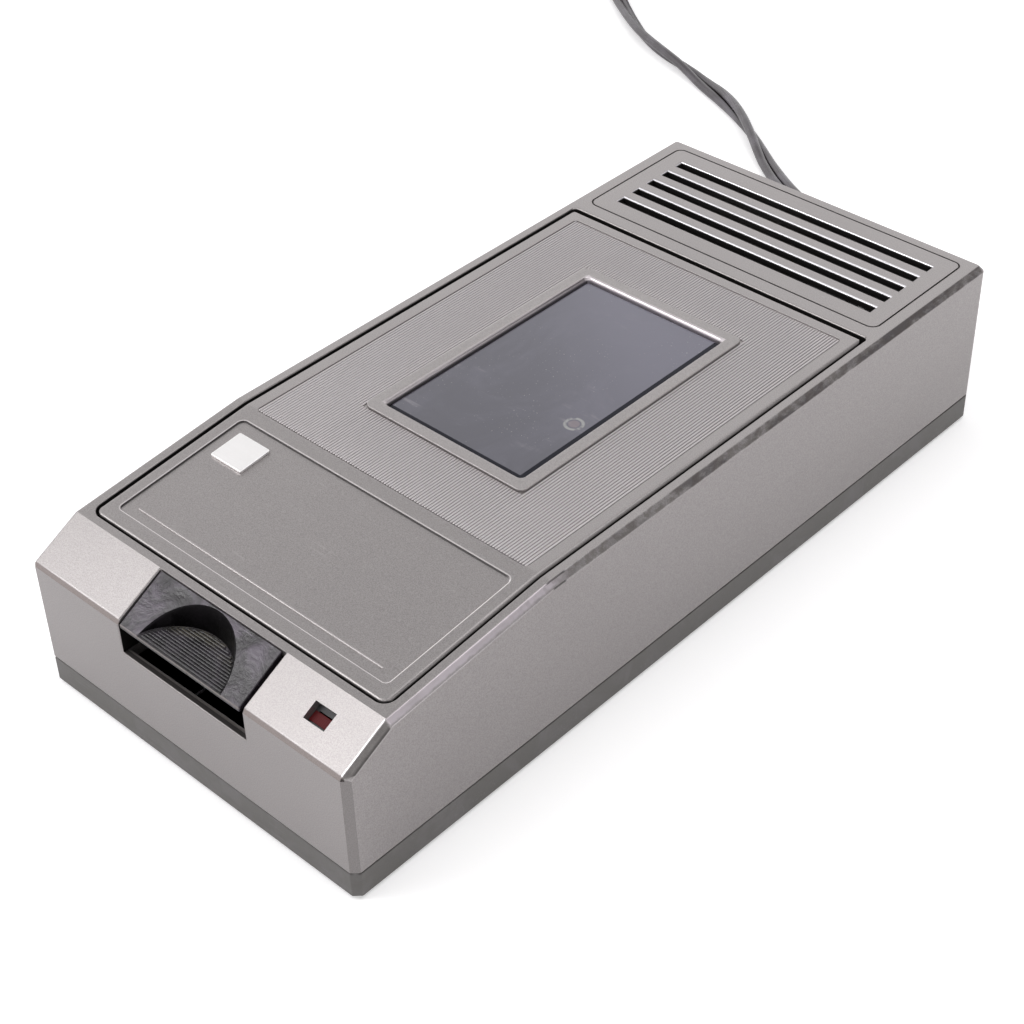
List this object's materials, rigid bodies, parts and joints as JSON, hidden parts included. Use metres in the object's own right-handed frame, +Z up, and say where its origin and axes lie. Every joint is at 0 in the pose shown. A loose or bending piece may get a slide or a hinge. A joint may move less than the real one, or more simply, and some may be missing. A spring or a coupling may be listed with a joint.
{
  "type": "video cassette rewinder",
  "caption": "Long low case with a bevelled front, rocking eject button, hinged ribbed lid with a smoked window, rear vent slots and a mains lead; a belt drives the reel inside.",
  "frame": {"origin": "on the table under the middle of the case, without the mains lead", "axes": "+X to the right seen from the front, +Y to the back along the long side, +Z up"},
  "size_m": [0.3582, 0.5502, 0.0595],
  "materials": {
    "housing_paint": "warm grey metallic paint over moulded plastic",
    "tray_plastic": "fine textured grey plastic",
    "button_plastic": "dark grey, worn",
    "badge_metal": "plain brushed plate",
    "window_acrylic": "smoked acrylic",
    "lens_red": "dark red tinted",
    "black_plastic": "moulded black",
    "rest_felt": "felt",
    "rubber": "soft",
    "steel": "bright zinc plated",
    "screw_steel": "zinc plated",
    "core_steel": "stacked laminations",
    "motor_steel": "drawn can",
    "winding_tape": "yellow insulating tape",
    "brass": "turned",
    "spindle_plastic": "off-white acetal",
    "wheel_plastic": "natural nylon",
    "board_laminate": "phenolic board",
    "component_coating": "coated components",
    "catch_plastic": "moulded",
    "cord_jacket": "grey-brown PVC",
    "plug_plastic": "moulded PVC",
    "blade_metal": "nickel plated",
    "tie_plastic": "hook strap"
  },
  "bodies": {
    "case": {"base_tray": "tray_plastic", "board_screws": "screw_steel", "brake_bracket": "steel", "brake_felt": "rest_felt", "button_pin": "steel", "button_spring": "steel", "case_screws": "screw_steel", "cassette_deck": "black_plastic", "cassette_rests": "rest_felt", "circuit_board": "board_laminate", "cord_coil": "cord_jacket", "cord_tail": "cord_jacket", "cord_tie": "tie_plastic", "deck_screws": "screw_steel", "drive_belt": "rubber", "lid_switch": "black_plastic", "mains_cord": "cord_jacket", "mains_leads": "cord_jacket", "motor_can": "motor_steel", "motor_cap": "black_plastic", "motor_screws": "screw_steel", "pilot_holder": "black_plastic", "pilot_lens": "lens_red", "plug_blades": "blade_metal", "plug_body": "plug_plastic", "rectifier_diodes": "component_coating", "resistors": "component_coating", "rubber_feet": "rubber", "smoothing_capacitor": "component_coating", "spindle_bushes": "brass", "strain_relief": "rubber", "supply_leads": "cord_jacket", "switch_leaves": "brass", "thrust_washers": "wheel_plastic", "transformer_bobbin": "black_plastic", "transformer_core": "core_steel", "transformer_screws": "screw_steel", "transformer_strap": "steel", "transformer_winding": "winding_tape", "upper_housing": "housing_paint", "wire_connector": "black_plastic"},
    "lid": {"lid_panel": "housing_paint", "lid_window": "window_acrylic", "badge_plate": "badge_metal", "hinge_pins": "steel", "hold_down_springs": "steel", "latch_catch": "catch_plastic"},
    "button": {"eject_button": "button_plastic", "latch_hook": "button_plastic"},
    "drive_reel": {"drive_spindle": "spindle_plastic", "drive_shaft": "steel", "belt_wheel": "wheel_plastic"},
    "free_reel": {"free_spindle": "spindle_plastic", "free_shaft": "steel", "brake_disc": "wheel_plastic"},
    "rotor": {"motor_shaft": "steel", "motor_pulley": "brass"}
  },
  "joints": [
    {"name": "lid_hinge", "type": "hinge", "parent": "case", "child": "lid", "pos_m": [0, 0.07835, 0.05605], "axis": [-1, 0, 0], "range_deg": [0, 60]},
    {"name": "button_pivot", "type": "hinge", "parent": "case", "child": "button", "pos_m": [0, -0.124, 0.034], "axis": [1, 0, 0], "range_deg": [0, 7], "stiffness_Nm_per_rad": 0.2},
    {"name": "drive_reel_spin", "type": "hinge", "parent": "case", "child": "drive_reel", "pos_m": [-0.0075, 0.022, 0], "axis": [0, 0, 1], "continuous": true},
    {"name": "free_reel_spin", "type": "hinge", "parent": "case", "child": "free_reel", "pos_m": [-0.0075, -0.0695, 0], "axis": [0, 0, 1], "continuous": true},
    {"name": "motor_spin", "type": "hinge", "parent": "case", "child": "rotor", "pos_m": [0.028, 0.103, 0], "axis": [0, 0, 1], "continuous": true}
  ],
  "couplings": [
    {"joint": "motor_spin", "follows": "drive_reel_spin", "ratio": 3.8571}
  ]
}
